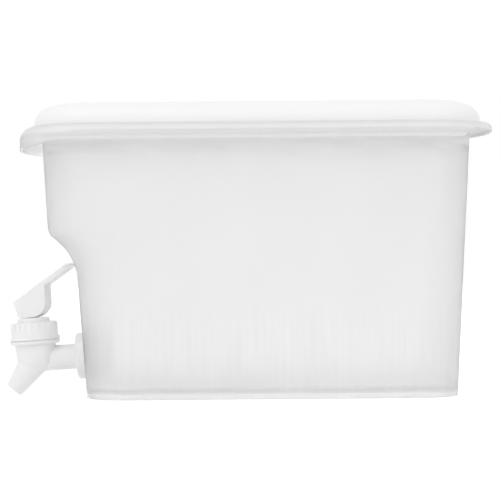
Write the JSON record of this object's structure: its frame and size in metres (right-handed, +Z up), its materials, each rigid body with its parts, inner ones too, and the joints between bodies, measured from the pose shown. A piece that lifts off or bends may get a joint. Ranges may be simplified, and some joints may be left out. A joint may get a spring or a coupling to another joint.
{
  "type": "fridge water jug with tap",
  "caption": "Stepped rectangular water jug for a fridge shelf: frosted tank with an overhanging rim, a shallow lift-off lid and a flip-lever tap low on its front wall.",
  "frame": {"origin": "middle of the tank's foot, on the flat ring that it stands on", "axes": "+Z up; +X from the tap end to the back, along the jug's length; +Y across its width"},
  "size_m": [0.3031, 0.14, 0.179],
  "materials": {
    "frosted": "frosted, translucent",
    "white": "satin",
    "tap_white": "satin",
    "pale_rubber": "matte",
    "spring_steel": "drawn wire"
  },
  "bodies": {
    "jug": {"tank": "frosted", "tap_body": "tap_white", "outer_gasket": "pale_rubber", "inner_gasket": "pale_rubber", "lock_nut": "tap_white", "ring_nut": "tap_white", "bonnet": "tap_white", "bonnet_seal": "pale_rubber"},
    "lid": {"lid": "white"},
    "swivel": {"spring": "spring_steel"},
    "stem": {"valve_stem": "tap_white", "stem_ring": "pale_rubber", "valve_plug": "pale_rubber"},
    "lever": {"lever": "tap_white"}
  },
  "joints": [
    {"name": "lid_lift", "type": "slide", "parent": "jug", "child": "lid", "axis": [0, 0, 1], "range_m": [0, 0.08]},
    {"name": "lever_swivel", "type": "hinge", "parent": "jug", "child": "swivel", "pos_m": [-0.14692, 0, 0.02271], "axis": [-0.068, 0, 0.9977], "continuous": true},
    {"name": "stem_lift", "type": "slide", "parent": "swivel", "child": "stem", "axis": [-0.068, 0, 0.9977], "range_m": [0, 0.0045], "deforming": ["spring"]},
    {"name": "lever_flip", "type": "hinge", "parent": "stem", "child": "lever", "pos_m": [-0.14921, 0, 0.05633], "axis": [-0.2244, -0.9744, -0.0153], "range_deg": [0, 56]}
  ],
  "couplings": [
    {"joint": "stem_lift", "follows": "lever_flip", "m_per_rad": 0.0046}
  ]
}
